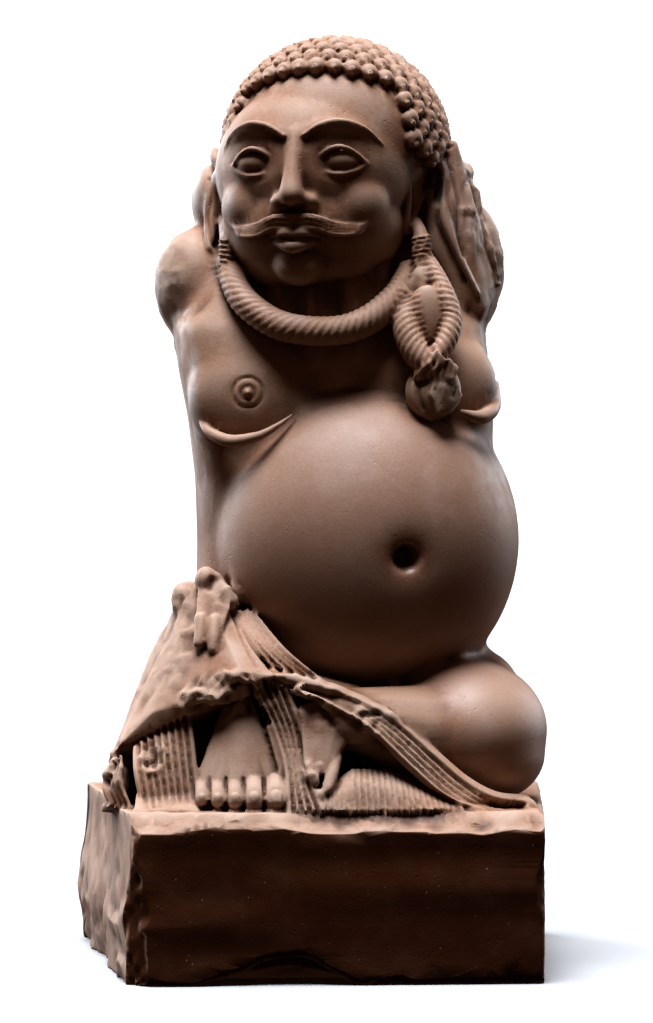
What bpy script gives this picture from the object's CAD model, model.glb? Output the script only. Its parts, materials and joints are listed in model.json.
"""The looks of the seated red sandstone statue: its carved surface, its stone, the floor and the light.

The stone is modelled again here from the same named sizes as the solid, with finer carving.
Forms are given as shares: hundredths of the figure's height above its block. The head has its own
frame, whose -Y is where the face looks.
"""

import functools
import itertools
import json
import math

import bmesh
import bpy
import numpy as np
from mathutils import Euler, Matrix, Vector

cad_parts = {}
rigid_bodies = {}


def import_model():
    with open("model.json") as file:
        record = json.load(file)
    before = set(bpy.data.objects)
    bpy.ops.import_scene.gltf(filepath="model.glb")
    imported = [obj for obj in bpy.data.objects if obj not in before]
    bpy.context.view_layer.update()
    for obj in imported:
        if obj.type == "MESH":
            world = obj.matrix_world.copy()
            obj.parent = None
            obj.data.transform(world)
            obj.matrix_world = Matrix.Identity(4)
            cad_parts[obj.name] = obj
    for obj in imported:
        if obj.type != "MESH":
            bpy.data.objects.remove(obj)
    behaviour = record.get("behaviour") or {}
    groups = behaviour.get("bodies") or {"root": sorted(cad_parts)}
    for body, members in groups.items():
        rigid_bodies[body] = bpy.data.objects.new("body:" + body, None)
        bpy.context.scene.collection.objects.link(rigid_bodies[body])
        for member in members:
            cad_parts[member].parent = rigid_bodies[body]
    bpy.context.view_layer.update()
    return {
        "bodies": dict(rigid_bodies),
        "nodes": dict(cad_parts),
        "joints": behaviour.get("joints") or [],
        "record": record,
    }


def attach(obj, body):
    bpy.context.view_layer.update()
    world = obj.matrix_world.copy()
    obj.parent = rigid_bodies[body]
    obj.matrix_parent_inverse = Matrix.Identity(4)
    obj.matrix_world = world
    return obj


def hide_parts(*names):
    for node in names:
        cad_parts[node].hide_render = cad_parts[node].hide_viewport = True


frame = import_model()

# Driving dimensions, in metres, the same as the solid's
FIGURE_HEIGHT = 0.758
PLINTH_HEIGHT = 0.162
FIGURE_OFFSET = 0.006
PLINTH_FRONT_LEFT = -0.186
PLINTH_FRONT_RIGHT = 0.202
PLINTH_BACK_WIDTH = 0.478
PLINTH_DEPTH = 0.370
PLINTH_ARCH = (-0.142, -0.033, 0.036)
PLINTH_ARCH_RISE = 0.026
PLINTH_ARCH_DEPTH = 0.055
PLINTH_WEAR = 0.0095

# The block's finer wear, in metres: how far in from a face or edge it reaches, and how wide each edge is worn
FACE_REACH = 0.012
EDGE_REACH = 0.05
ARCH_WEAR = 0.0035
LEFT_CORNER_WEAR = 0.008
RIGHT_CORNER_WEAR = 0.0035
RIGHT_EDGE_WEAR = 0.004

# The photograph's camera
PHOTO_HEIGHT_PX = 1023
FOCAL_PX = 3222
CAMERA_TURN = math.radians(-3)
CAMERA_DISTANCE = 3.2
CAMERA_HEIGHT = 0.444
SENSOR = 36

# The floor and the light
FLOOR_REACH = 12
FLOOR_COLOUR = (0.46, 0.46, 0.455)
FLOOR_ROUGHNESS = 0.9
SUN_COLOUR = (0.94, 0.99, 1.09)
SHADOW_COLOUR = (1.0, 0.62, 0.40, 1)
BACKDROP_COLOUR = (1, 1, 1, 1)
SHADOW_LIGHT = 0.05
BACKDROP_LIGHT = 1.0
# The suns: name, where each stands, strength, and spread in degrees
SUNS = (
    ("key", (-0.12, -0.16, 1), 5.2, 34), ("left", (-1, 0.9, 0.35), 2.2, 34),
    ("right", (1, 0.7, 0.3), 1.1, 36),
)

# How finely the stone is made
BODY_VOXEL = 0.0050
HEAD_VOXEL = 0.0030
CARVING_VOXEL = 0.0016
BODY_SMOOTHING = 12
HEAD_SMOOTHING = 9
CARVING_SMOOTHING = 2
MOST_TRIANGLES = 198000
ROD_STEPS = 5
SHARPEST_CURVE = math.radians(55)

# The head, in shares of the figure's height, and its turn to the figure's right
HEAD_CENTRE = (-0.9, 0.5, 82.5)
HEAD_TURN = math.radians(-16)
SKULL_CENTRE = (1.6, 2.8, 2.4)
SKULL_RADII = (13.8, 14.7, 13.5)
CURL_RADIUS = 1.22
CURL_SIZES = (0.9, 1.06)
CURL_LENGTH = 1.1
CURL_THICKNESS = 0.78
CURL_SHIFT = 0.18
CURL_SPACING = 2.28
CURL_RISE = 0.55
CURL_PITCH = 0.62
CURL_GROOVE = 0.15
KNOB_DROP = 0.78
KNOB_LIFT = 0.60
KNOB_RADIUS = 0.46
HAIR_TILT = math.radians(32)
HAIRLINE = math.radians(80)
LOWEST_ROW = math.radians(114.5)
LOWEST_CURL = -0.16
TEMPLE = math.radians(53)

SHARE = FIGURE_HEIGHT / 100
LEVEL = Matrix.Identity(4)
FIGURE = Matrix.Translation((FIGURE_OFFSET, 0, PLINTH_HEIGHT)) @ Matrix.Scale(SHARE, 4)
HEAD = FIGURE @ Matrix.Translation(HEAD_CENTRE) @ Matrix.Rotation(HEAD_TURN, 4, "Z")


class Clay:
    """Closed forms gathered as triangles, to be fused into one skin."""

    def __init__(self):
        self.points = []
        self.faces = []
        self.count = 0

    def add(self, points, faces):
        self.points.append(points)
        self.faces.append(np.asarray(faces) + self.count)
        self.count += len(points)

    def add_mesh(self, mesh):
        mesh.calc_loop_triangles()
        points = np.empty(len(mesh.vertices) * 3, dtype=np.float32)
        faces = np.empty(len(mesh.loop_triangles) * 3, dtype=np.int32)
        mesh.vertices.foreach_get("co", points)
        mesh.loop_triangles.foreach_get("vertices", faces)
        self.add(points.reshape(-1, 3), faces.reshape(-1, 3))

    def mesh(self):
        points = np.concatenate(self.points).astype(np.float32)
        faces = np.concatenate(self.faces).astype(np.int32)
        made = bpy.data.meshes.new("clay")
        made.vertices.add(len(points))
        made.vertices.foreach_set("co", points.ravel())
        made.loops.add(faces.size)
        made.loops.foreach_set("vertex_index", faces.ravel())
        made.polygons.add(len(faces))
        made.polygons.foreach_set("loop_start", np.arange(0, faces.size, 3, dtype=np.int32))
        made.update(calc_edges=True)
        return made


def placed(points, matrix):
    """Points moved and turned by a matrix."""
    place = np.array(matrix)
    return np.asarray(points) @ place[:3, :3].T + place[:3, 3]


@functools.cache
def ball(segments):
    """The points and triangles of a ball of radius 1."""
    made = bmesh.new()
    bmesh.ops.create_uvsphere(made, u_segments=segments, v_segments=segments * 2 // 3, radius=1)
    bmesh.ops.triangulate(made, faces=made.faces)
    points = np.array([v.co for v in made.verts])
    faces = np.array([[v.index for v in face.verts] for face in made.faces])
    made.free()
    return points, faces


def lump(clay, centre, radii, turn=(0, 0, 0), frame=FIGURE, segments=24):
    """An ellipsoid, added to the clay."""
    angles = Euler([math.radians(a) for a in turn])
    place = frame @ Matrix.LocRotScale(Vector(centre), angles, Vector(radii))
    points, faces = ball(segments)
    clay.add(placed(points, place), faces)


def mass(clay, corners, frame=FIGURE):
    """The convex mass between some corner points, added to the clay."""
    made = bmesh.new()
    for corner in corners:
        made.verts.new(corner)
    hull = bmesh.ops.convex_hull(made, input=made.verts)
    inner = [v for v in hull["geom_interior"] if isinstance(v, bmesh.types.BMVert)]
    bmesh.ops.delete(made, geom=inner, context="VERTS")
    made.verts.index_update()
    points = [v.co for v in made.verts]
    faces = [[v.index for v in face.verts] for face in made.faces]
    clay.add(placed(points, frame), faces)
    made.free()


def skin(rings):
    """The triangles between rings of points, and over the middle points of the first and last."""
    count, steps = len(rings), len(rings[0])
    points = np.concatenate([*rings, rings[0].mean(0)[None], rings[-1].mean(0)[None]])
    index = np.arange(count * steps).reshape(count, steps)
    ahead = np.roll(index, -1, axis=1)
    low, low_next, high, high_next = (a.ravel() for a in (index[:-1], ahead[:-1], index[1:], ahead[1:]))
    first, last = np.full(steps, count * steps), np.full(steps, count * steps + 1)
    faces = np.concatenate([
        np.stack([low, low_next, high], 1),
        np.stack([low_next, high_next, high], 1),
        np.stack([ahead[0], index[0], first], 1),
        np.stack([index[-1], ahead[-1], last], 1),
    ])
    return points, faces


def column(clay, sections, corner=3.4, steps=48):
    """A loft through level sections: (height, left, right, front, back), with squarish corners."""
    angles = 2 * math.pi * np.arange(steps) / steps
    across = np.sign(np.cos(angles)) * np.abs(np.cos(angles)) ** (2 / corner)
    deep = np.sign(np.sin(angles)) * np.abs(np.sin(angles)) ** (2 / corner)
    rings = []
    for height, left, right, front, back in sections:
        x = (left + right) / 2 + (right - left) / 2 * across
        y = (front + back) / 2 + (back - front) / 2 * deep
        rings.append(np.stack([x, y, np.full(steps, height)], 1))
    points, faces = skin(rings)
    clay.add(placed(points, FIGURE), faces)


def smooth_path(points, steps=ROD_STEPS):
    """Points on a smooth curve through the given ones, with any further numbers carried along."""
    ends = [points[0]] + list(points) + [points[-1]]
    found = []
    for a, b, c, d in zip(ends, ends[1:], ends[2:], ends[3:]):
        for i in range(steps):
            t = i / steps
            found.append([
                0.5 * (2 * q + (r - p) * t + (2 * p - 5 * q + 4 * r - s) * t * t
                       + (3 * q - p - 3 * r + s) * t ** 3)
                for p, q, r, s in zip(a, b, c, d)
            ])
    found.append(list(points[-1]))
    return found


def rod(clay, points, frame=FIGURE, sides=12):
    """A round-ended rod through points of (x, y, z, radius), added to the clay."""
    path = np.array(smooth_path(points))
    line = path[:, :3]
    tangents = np.gradient(line, axis=0)
    tangents /= np.linalg.norm(tangents, axis=1)[:, None]
    angles = 2 * math.pi * np.arange(sides) / sides
    side = np.array(Vector(tangents[0]).orthogonal().normalized())
    rings = []
    for middle, tangent, radius in zip(line, tangents, path[:, 3]):
        side = side - tangent * (side @ tangent)
        side /= np.linalg.norm(side)
        up = np.cross(tangent, side)
        rings.append(middle + radius * (np.outer(np.cos(angles), side) + np.outer(np.sin(angles), up)))
    tube, faces = skin(rings)
    clay.add(placed(tube, frame), faces)
    for x, y, z, radius in (path[0], path[-1]):
        lump(clay, (x, y, z), (radius,) * 3, frame=frame, segments=12)


def mirrored(path, side):
    """A path on the figure's left of the head, or with -1 its mirror image on the right."""
    return [(side * x, *rest) for x, *rest in path]


def between(start, end, share):
    return tuple(a + (b - a) * share for a, b in zip(start, end))


def spread(keys, shares):
    """Lines at some shares of the way from the first key line to the last."""
    for share in shares:
        place = share * (len(keys) - 1)
        index = min(int(place), len(keys) - 2)
        yield [between(a, b, place - index) for a, b in zip(keys[index], keys[index + 1])]


def fan(clay, keys, count):
    """Rods spread evenly from the first key rod to the last, such as the folds of a cloth."""
    for line in spread(keys, np.linspace(0, 1, count)):
        rod(clay, line)


def evaluated_mesh(item):
    bpy.context.view_layer.update()
    graph = bpy.context.evaluated_depsgraph_get()
    return bpy.data.meshes.new_from_object(item.evaluated_get(graph))


def fused(clay, voxel, smoothing):
    """The clay as one skin of small even faces, softened."""
    mesh = clay.mesh()
    item = bpy.data.objects.new("clay", mesh)
    bpy.context.scene.collection.objects.link(item)
    fuse = item.modifiers.new("Fuse", "REMESH")
    fuse.mode = "VOXEL"
    fuse.voxel_size = voxel
    soften = item.modifiers.new("Soften", "SMOOTH")
    soften.factor = 0.5
    soften.iterations = smoothing
    result = evaluated_mesh(item)
    bpy.data.objects.remove(item)
    bpy.data.meshes.remove(mesh)
    return result


def torso(clay):
    column(clay, [
        (-1, -16, 18, -6, 17),
        (14, -17, 19, -9, 17.2),
        (24, -17, 20.3, -10, 17.2),
        (34, -16.9, 21.8, -9.5, 16.9),
        (42, -17.2, 21.8, -9.5, 16.4),
        (50, -18.2, 22, -10, 15.6),
        (56, -19.4, 21.3, -10, 15),
        (61, -20, 21, -8.5, 14),
        (66, -18, 19.5, -5.5, 13),
        (71, -14, 15, -3.5, 12),
        (75, -10, 11, -2, 11),
    ])
    lump(clay, (-9.3, -5, 52), (9.2, 5.3, 8.4))
    lump(clay, (13, -5, 53.2), (9.2, 5.4, 8))
    rod(clay, [(1, 0, 56, 11), (-0.2, 0, 70, 10)])
    lump(clay, (2, 7.5, 9), (20, 12, 11))
    for x in (-8.5, 10.5):
        lump(clay, (x, 10.9, 59.5), (7.4, 4.3, 9.4))
    lump(clay, (4.9, -1.5, 33.5), (20.2, 17.5, 21.2), segments=64)


def shoulders(clay):
    """The stumps of the lost arms, and the mass of hair that falls behind the neck."""
    lump(clay, (-17.3, 3.5, 67), (5.2, 6, 7.5))
    rod(clay, [(-18.4, 2.6, 64.5, 2.6), (-18.5, 1.8, 60.8, 1.3)])
    lump(clay, (18, 3.5, 69.5), (5.8, 6, 9.5))
    lump(clay, (0.8, 7, 72.5), (17, 6, 13))
    lump(clay, (0.8, 8, 70.5), (14.6, 6.4, 11))
    lump(clay, (-14.6, 4.5, 78.3), (3.2, 4, 5))
    mass(clay, [
        (12, 1, 88), (16.2, 4, 87.5), (17.8, 5, 81), (22, 4, 74.5), (19, -1, 72), (12, -2, 74),
        (11, 10, 86), (17, 10, 84), (20, 10, 74), (11, 10, 72),
    ])
    mass(clay, [
        (13.4, -3.6, 85.5), (16.8, -2, 85.5), (18.4, -3, 78), (18.6, -4.4, 70.6), (13.6, -4.2, 77),
        (12.6, -4.8, 71.5), (16.6, -5, 66), (20.6, -4.2, 62.5), (22.2, -0.8, 65.5), (12, 6, 84),
        (18, 6, 80), (22, 5, 72), (15, 5, 69), (21.6, 4, 65), (21.4, -1, 72),
    ])
    lump(clay, (18, 2, 80.8), (1.7, 2.4, 2.6))


def folded_leg(clay):
    """The figure's left leg, folded flat with its knee out to the side."""
    lump(clay, (17.3, -6, 9), (11, 13, 9.3), segments=48)
    lump(clay, (20, -6.5, 6), (8, 11, 6.4))
    rod(clay, [(11, 6, 12, 9), (17.5, 0, 11, 9.2)])
    rod(clay, [(19, -10.5, 7.8, 7.4), (10, -13.6, 9.4, 6), (2, -15.4, 11, 4.2)])


def instep(clay):
    """The broad smooth upper side of the right foot, without its toes."""
    mass(clay, [
        (-11.6, -14.2, 18), (-13.8, -14.8, 13.6), (-9.6, -16.2, 13.4), (-15.8, -16.2, 8),
        (-8.4, -17, 9), (-17.6, -17.8, 3.6), (-17.2, -19.2, 1.4), (-6.6, -18.4, 3.8),
        (-6.4, -19.8, 1.4), (-12.2, -20.6, 2.4), (-12.2, -18.6, 7.4), (-16.4, -10, -1),
        (-8, -10, -1), (-12, -9, 15), (-18, -16, -1), (-6.2, -16, -1), (-6.6, -19.6, -1),
        (-17, -19, -1), (-12, -20.6, -1),
    ])


def body_mesh():
    clay = Clay()
    for form in (torso, shoulders, folded_leg, instep):
        form(clay)
    return fused(clay, BODY_VOXEL, BODY_SMOOTHING)


def head_mesh():
    """The head's large forms, with its eye sockets pressed in."""
    clay = Clay()
    lump(clay, SKULL_CENTRE, SKULL_RADII, frame=HEAD, segments=48)
    lump(clay, (0, -2, -1), (13.2, 12.6, 12), frame=HEAD, segments=48)
    lump(clay, (0, -3.4, -8), (12, 11, 9), frame=HEAD, segments=48)
    lump(clay, (0, -4, -13), (9.4, 8.6, 4.8), frame=HEAD)
    lump(clay, (0, -11.2, -13.8), (3.4, 2.9, 2.7), frame=HEAD)
    lump(clay, (0, -11.2, -9.6), (4.6, 3.8, 3.4), frame=HEAD)
    rod(clay, [(0, -13.3, 2.8, 1.1), (0, -14.9, -1.6, 1.15), (0, -15.8, -5.2, 1.7)], frame=HEAD)
    for side in (-1, 1):
        lump(clay, (side * 6.2, -8, -6), (4.9, 4.8, 5), frame=HEAD)
        lump(clay, (side * 1.8, -14.4, -6), (1.4, 1.5, 1.2), frame=HEAD)
        ridge = [(1.7, -13.6, 2.8, 0.8), (4.8, -13.2, 3.7, 0.9), (7.8, -11.6, 3.2, 0.7), (10, -9.4, 1.2, 0.3)]
        rod(clay, mirrored(ridge, side), frame=HEAD)
    mesh = fused(clay, HEAD_VOXEL, HEAD_SMOOTHING)
    points, normals = read_points(mesh, HEAD)
    for side in (-1, 1):
        inside = nearness(points, (side * 5.5, -13.4, -0.7), (4.4, 4.0, 3.2), 1.0)
        points -= normals * (0.75 * inside)[:, None]
    write_points(mesh, points, HEAD)
    return mesh


def eyes(clay):
    for side in (-1, 1):
        lump(clay, (side * 5.5, -11.55, -0.7), (2.75, 2.05, 1.7), (0, 0, side * 18), frame=HEAD)
        upper_lid = [
            (2.5, -13.25, -1.3, 0.22), (3.8, -13.75, 0.25, 0.32), (5.6, -13.65, 0.95, 0.36),
            (7.3, -12.75, 0.45, 0.32), (8.9, -11.3, -1, 0.2),
        ]
        lower_lid = [
            (2.5, -13.25, -1.3, 0.2), (4, -13.5, -2.2, 0.27), (5.8, -13.2, -2.5, 0.28),
            (7.6, -12.2, -2, 0.25), (8.9, -11.3, -1, 0.18),
        ]
        rod(clay, mirrored(upper_lid, side), frame=HEAD)
        rod(clay, mirrored(lower_lid, side), frame=HEAD)


def brows(clay):
    for side in (-1, 1):
        brow = [
            (1.3, -14.5, 2.4, 0.3), (3.4, -14.25, 3.7, 0.42), (6, -13.3, 4.2, 0.42),
            (8.6, -11.4, 3.4, 0.34), (10.4, -9.3, 1.6, 0.2),
        ]
        rod(clay, mirrored(brow, side), frame=HEAD)


def mouth(clay):
    """Full calm lips under a moustache of fine strands that curls up at its tips."""
    rod(clay, [(-3.1, -13.4, -10.6, 0.3), (-1.2, -14.9, -10, 0.62), (0, -14.9, -10.2, 0.5),
               (1.2, -14.9, -10, 0.62), (3.1, -13.4, -10.6, 0.3)], frame=HEAD)
    rod(clay, [(-2.7, -13.4, -11, 0.3), (0, -14.6, -11.7, 0.95), (2.7, -13.4, -11, 0.3)], frame=HEAD)
    for side in (-1, 1):
        for strand in range(5):
            drop = strand * 0.42
            whisker = [
                (0.25, -15.3 + 0.1 * strand, -7.9 - drop, 0.34),
                (2.6, -15.0 + 0.1 * strand, -8.0 - 0.8 * drop, 0.4),
                (5.4, -13.5, -8.9 - 0.75 * drop, 0.36), (7.9, -11.9, -9.0 - 0.5 * drop, 0.3),
                (9.6 - 0.35 * strand, -10.6, -7.9 - 0.5 * drop, 0.16),
            ]
            rod(clay, mirrored(whisker, side), frame=HEAD)


def ears(clay):
    """Long ears whose stretched lobes carry ribbed rings."""
    for side in (-1, 1):
        lump(clay, (side * 12.7, -0.2, -2.6), (1.2, 2.4, 4.4), frame=HEAD)
        rim = [
            (12.6, -2.8, -1.2, 0.4), (13.4, -2.6, 0.9, 0.6), (14, -0.6, 2, 0.75), (14.2, 1.2, 0.2, 0.75),
            (13.7, 0.6, -3, 0.7), (12.8, -1.2, -6, 0.85), (12.2, -2.2, -8.6, 0.85),
        ]
        lobe = [(12.5, -3.0, -1.6, 0.4), (12.6, -3.3, -5.0, 0.45), (12.2, -2.8, -8.4, 0.6)]
        rod(clay, mirrored(rim, side), frame=HEAD)
        rod(clay, mirrored(lobe, side), frame=HEAD)
    rod(clay, [(-13.4, 0.4, 75.4, 0.8), (-13.3, -3.6, 71.6, 0.75), (-13, -4.6, 67.2, 0.9)])
    rod(clay, [(11.4, -5, 74.6, 0.8), (11.9, -6.8, 72.4, 1), (12, -7.6, 68.2, 1)])
    for rib in range(9):
        share = rib / 8
        lump(clay, (-13.3 + 0.3 * share, -3.8 - 0.8 * share, 72.2 - 5.2 * share),
             (1.05 + 0.4 * share, 1.2 + 0.2 * share, 0.21), (0, 8, 0), segments=16)
        lump(clay, (11.9 + 0.1 * share, -7.0 - 0.4 * share, 72.6 - 4.6 * share),
             (1.5, 1.4, 0.21), (0, -10, 0), segments=16)


def curl_places():
    """Middles, outward and downward directions of the curls, in rows from the ears to the crown."""
    lean = Matrix.Rotation(-HAIR_TILT, 3, "X")
    radii = [radius + CURL_RISE for radius in SKULL_RADII]
    rows = round(LOWEST_ROW * radii[0] / CURL_SPACING)
    found = []
    for row in range(rows + 1):
        polar = LOWEST_ROW * (1 - row / rows)
        count = max(1, round(2 * math.pi * math.sin(polar) * radii[0] / CURL_SPACING))
        for i in range(count):
            turn = 2 * math.pi * (i + 0.5 * (row % 2)) / count
            sine, cosine = math.sin(polar), math.cos(polar)
            outward = lean @ Vector((sine * math.sin(turn), -sine * math.cos(turn), cosine))
            down = lean @ Vector((cosine * math.sin(turn), -cosine * math.cos(turn), -sine))
            off_face = abs(math.atan2(outward.x, -outward.y))
            beside_face = off_face > TEMPLE and outward.z > LOWEST_CURL
            if polar <= HAIRLINE or beside_face:
                place = Vector([c + r * d for c, r, d in zip(SKULL_CENTRE, radii, outward)])
                found.append((place, outward, down))
    return found


def hair(clay):
    """Short fat curls, each with a small knob at its lower end."""
    sizes = np.random.default_rng(5).uniform(*CURL_SIZES, 1000)
    body, body_faces = ball(14)
    knob, knob_faces = ball(8)
    for (place, outward, down), size in zip(curl_places(), sizes):
        across = outward.cross(down)
        axes = Matrix((across, down * CURL_LENGTH, outward * CURL_THICKNESS)).transposed()
        axes *= CURL_RADIUS * size
        middle = place - CURL_SHIFT * down
        clay.add(placed(body, HEAD @ Matrix.Translation(middle) @ axes.to_4x4()), body_faces)
        tip = HEAD @ Matrix.Translation(place + KNOB_DROP * down + KNOB_LIFT * outward)
        clay.add(placed(knob * KNOB_RADIUS, tip), knob_faces)


def locks(clay):
    """The wavy locks that fall behind the ears and down the back."""
    rod(clay, [(16.4, -1.6, 85, 0.8), (17.4, -1.8, 81, 0.9), (18.4, -2.4, 77.2, 0.9),
               (18.2, -3.2, 73.4, 0.9), (18.7, -3.6, 70.2, 0.6)])
    rod(clay, [(18.2, 0.6, 81.6, 0.8), (19.2, 0, 78.2, 1), (19.8, -0.6, 75, 0.9),
               (21.2, -0.8, 71.2, 0.8), (22.4, -0.4, 67.2, 0.5)])
    rod(clay, [(14, -3.6, 83.6, 0.7), (15, -3.6, 80.2, 0.9), (14.8, -4, 76.8, 0.8),
               (15.8, -4.6, 73.2, 0.8), (17.4, -4.8, 69.2, 0.6), (19.4, -4.4, 65.6, 0.4)])
    rod(clay, [(-13.2, 1, 83, 0.8), (-14.9, 1.4, 79, 1), (-15.2, 0.8, 75, 0.9),
               (-15.4, -0.6, 71.6, 0.6)])
    for strand in range(17):
        x = -12.6 + 1.65 * strand
        bulge = 6.4 * math.sqrt(1 - ((x - 0.8) / 14.8) ** 2)
        rod(clay, [(0.95 * x, 6.6 + bulge, 79.6, 0.7), (x + 0.6, 7.9 + bulge, 73, 0.95),
                   (x - 0.6, 7.6 + bulge, 67, 0.9), (x, 6.6 + 0.9 * bulge, 61, 0.5)])


NECKLACE = [
    (-12.8, -1.5, 69.9, 1.6), (-12.4, -5.4, 67.1, 1.75), (-10.8, -8.3, 64, 1.9),
    (-7.5, -10.5, 61.4, 1.95), (-3.8, -11.8, 60.3, 1.95), (1.1, -12, 60.3, 1.95),
    (5, -11.2, 61.8, 1.95), (8.7, -8.7, 65, 1.9), (10.4, -5.4, 68.2, 1.7),
]
OUTER_STRAND = [
    (12.6, -6.6, 70.2, 0.8), (13.3, -8.4, 68.4, 1.1), (14.5, -10.2, 65.4, 1.3),
    (15.4, -11.2, 62.4, 1.35), (15, -12.2, 59.7, 1.4), (13.5, -13, 57.1, 1.3),
    (11.4, -13.2, 54.8, 1.1),
]
INNER_STRAND = [
    (10.5, -9.2, 65, 1), (9.6, -11, 61.6, 1.8), (10.3, -12.2, 58.4, 1.9),
    (12.1, -13, 55.8, 1.7), (14.4, -13.2, 54, 1.2),
]


# The ropes of cloth, and the spacing, slant and depth of the grooves round them
ROPES = ((NECKLACE, 1.0, 7, 0.12), (OUTER_STRAND, 0.9, 4, 0.14), (INNER_STRAND, 0.9, -6, 0.14))


def necklace(clay):
    """A thick rope of cloth round the neck, plaited at the figure's left, with its broken tassel."""
    for rope, *_ in ROPES:
        rod(clay, rope, sides=20)
    lump(clay, (12.4, -10.9, 61.6), (3, 1.5, 4.6))
    lump(clay, (11.9, -8.6, 66), (1.9, 1.5, 2.8))
    mass(clay, [
        (11.9, -13.4, 57.4), (13.3, -14.9, 57.8), (14.6, -14.9, 56.4), (13, -14.9, 55),
        (11.4, -14.2, 55.8), (12, -11.5, 57), (14, -11.5, 55),
    ])
    mass(clay, [
        (14.7, -14.6, 56.9), (16.2, -13.6, 55.6), (15.6, -14.2, 53.9), (13.6, -14.6, 54.3),
        (14.5, -11.5, 56), (15.4, -11.5, 54),
    ])
    lump(clay, (13, -11.7, 52.6), (3.6, 2.2, 3.8), (0, 16, 0))
    mass(clay, [
        (12.6, -13.9, 55.6), (15.4, -13.5, 54.8), (16.7, -12.4, 52), (15.4, -13.3, 49.6),
        (13.4, -14.2, 49.4), (12.4, -14.4, 52), (14.2, -14.5, 53.2), (13, -11, 54), (15, -11, 51),
    ])


def breasts(clay):
    """The lips of flesh under the breasts and the nipple in its ring."""
    rod(clay, [
        (-16.6, -6.8, 49, 0.3), (-15.5, -8.6, 47.4, 0.7), (-12.8, -10.6, 46.2, 0.85),
        (-9.4, -11.7, 46.8, 0.65), (-6.8, -11.6, 48.2, 0.4), (-4.6, -10.8, 49.8, 0.15),
    ])
    rod(clay, [
        (16.6, -11.8, 49.9, 0.4), (19.3, -9.9, 49.3, 0.95), (21.4, -6.2, 50.8, 0.9),
        (22.1, -2, 54, 0.4),
    ])
    lump(clay, (-10.6, -9.95, 52.4), (0.48, 0.7, 0.48), segments=16)


def raised_leg(clay):
    """The figure's right leg: a foot flat on the block, under a lap whose knee is broken away."""
    mass(clay, [
        (-16.7, -7.5, 29), (-15, -12, 24.5), (-20.5, -3, 23.6), (-22.8, -4, 19),
        (-24.9, -5, 13.5), (-26.8, -8, 8), (-28.4, -9, 5), (-27.2, -13.4, 7.4),
        (-22.8, -15.6, 11.9), (-19.9, -16.6, 12.9), (-14.3, -18.6, 13.9), (-11.8, -18.8, 17.2),
        (-7.4, -19, 16.6), (-12, -8, 13), (-20, -6, 7), (-18, 3, 24), (-24, 2, 10),
    ])
    mass(clay, [
        (-27, 8, -1), (-28.4, -6, -1), (-27, -6, 6), (-20, -11, -1), (-20, -9.5, 9),
        (-13, -9, 15), (-12, -11, -1), (-2, -12, -1), (-3, -12, 14), (-8, 6, -1), (-14, 6, 20),
        (-24, 4, 14),
    ])
    mass(clay, [
        (-25.2, -13.8, 7.6), (-24.8, -16.4, 5.4), (-22.6, -14.4, 9.2), (-19.2, -14.4, 12.2),
        (-18, -16, 8), (-24, -17.6, -1),
        (-17.2, -17.2, -1), (-23.7, -17.2, 3), (-17.4, -17, 3.8), (-24, -8, -1),
        (-17.8, -8, -1), (-22, -8, 9),
    ])
    mass(clay, [
        (-24.8, -17.4, 1.8), (-17.4, -17.4, 2.3), (-16.4, -17, 2), (-25, -21, -0.2),
        (-17.2, -21.2, -0.2), (-24.6, -14, 1.8), (-17.4, -14, 2.3), (-24.8, -14, -1), (-17, -14, -1),
        (-24.8, -20.4, -1), (-17, -20.4, -1),
    ])
    mass(clay, [
        (-27.3, -11.6, 7.2), (-28.8, -11.4, 3.1), (-26.4, -14.4, 3.1), (-28.8, -11, -1),
        (-26.4, -14.6, -1), (-28.4, -4, -1), (-26, -4, 6), (-25, -8, 7.4),
    ])


# The right foot's toes, from the big one outwards: place across and forward, and radius
TOES = (
    (-7.4, -20.5, 1.62), (-10.15, -20.9, 1.42), (-12.5, -20.6, 1.24), (-14.65, -20, 1.12),
    (-16.6, -19.2, 1),
)


def toes(clay):
    for x, y, size in TOES:
        rod(clay, [
            (0.97 * x - 0.35, y + 3.2, 3.8, 0.8 * size), (x, y + 1.2, 2.8, 0.95 * size),
            (x, y - 0.5, 1.5, size),
        ])


def left_foot(clay):
    """The folded leg's foot, toes down, with its upper face broken."""
    mass(clay, [
        (-4, -18, 12.6), (-1.9, -17.6, 13.4), (0.8, -17.8, 12.8), (3, -17.4, 11.4),
        (1.9, -18.2, 8.6), (0.2, -19, 6.6), (-4.2, -18.6, 9.2), (-4.1, -19.9, 6.2),
        (-3.6, -20.8, 4.4), (-1.4, -20.6, 4.6), (-4, -12, 8), (3, -12, 9), (-2, -13, 13), (0, -14, 4),
    ])
    rod(clay, [(-3.2, -19.4, 5.6, 1), (-3.1, -20.6, 4.2, 0.95), (-2.6, -21, 3.6, 0.7)])
    rod(clay, [(0.2, -18.6, 6.4, 0.8), (-0.4, -20.2, 4.4, 0.85), (-0.9, -21.2, 2.6, 0.8)])
    lump(clay, (-2, -21.2, 1.9), (0.95, 0.9, 0.8), (0, 20, 0), segments=14)


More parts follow.
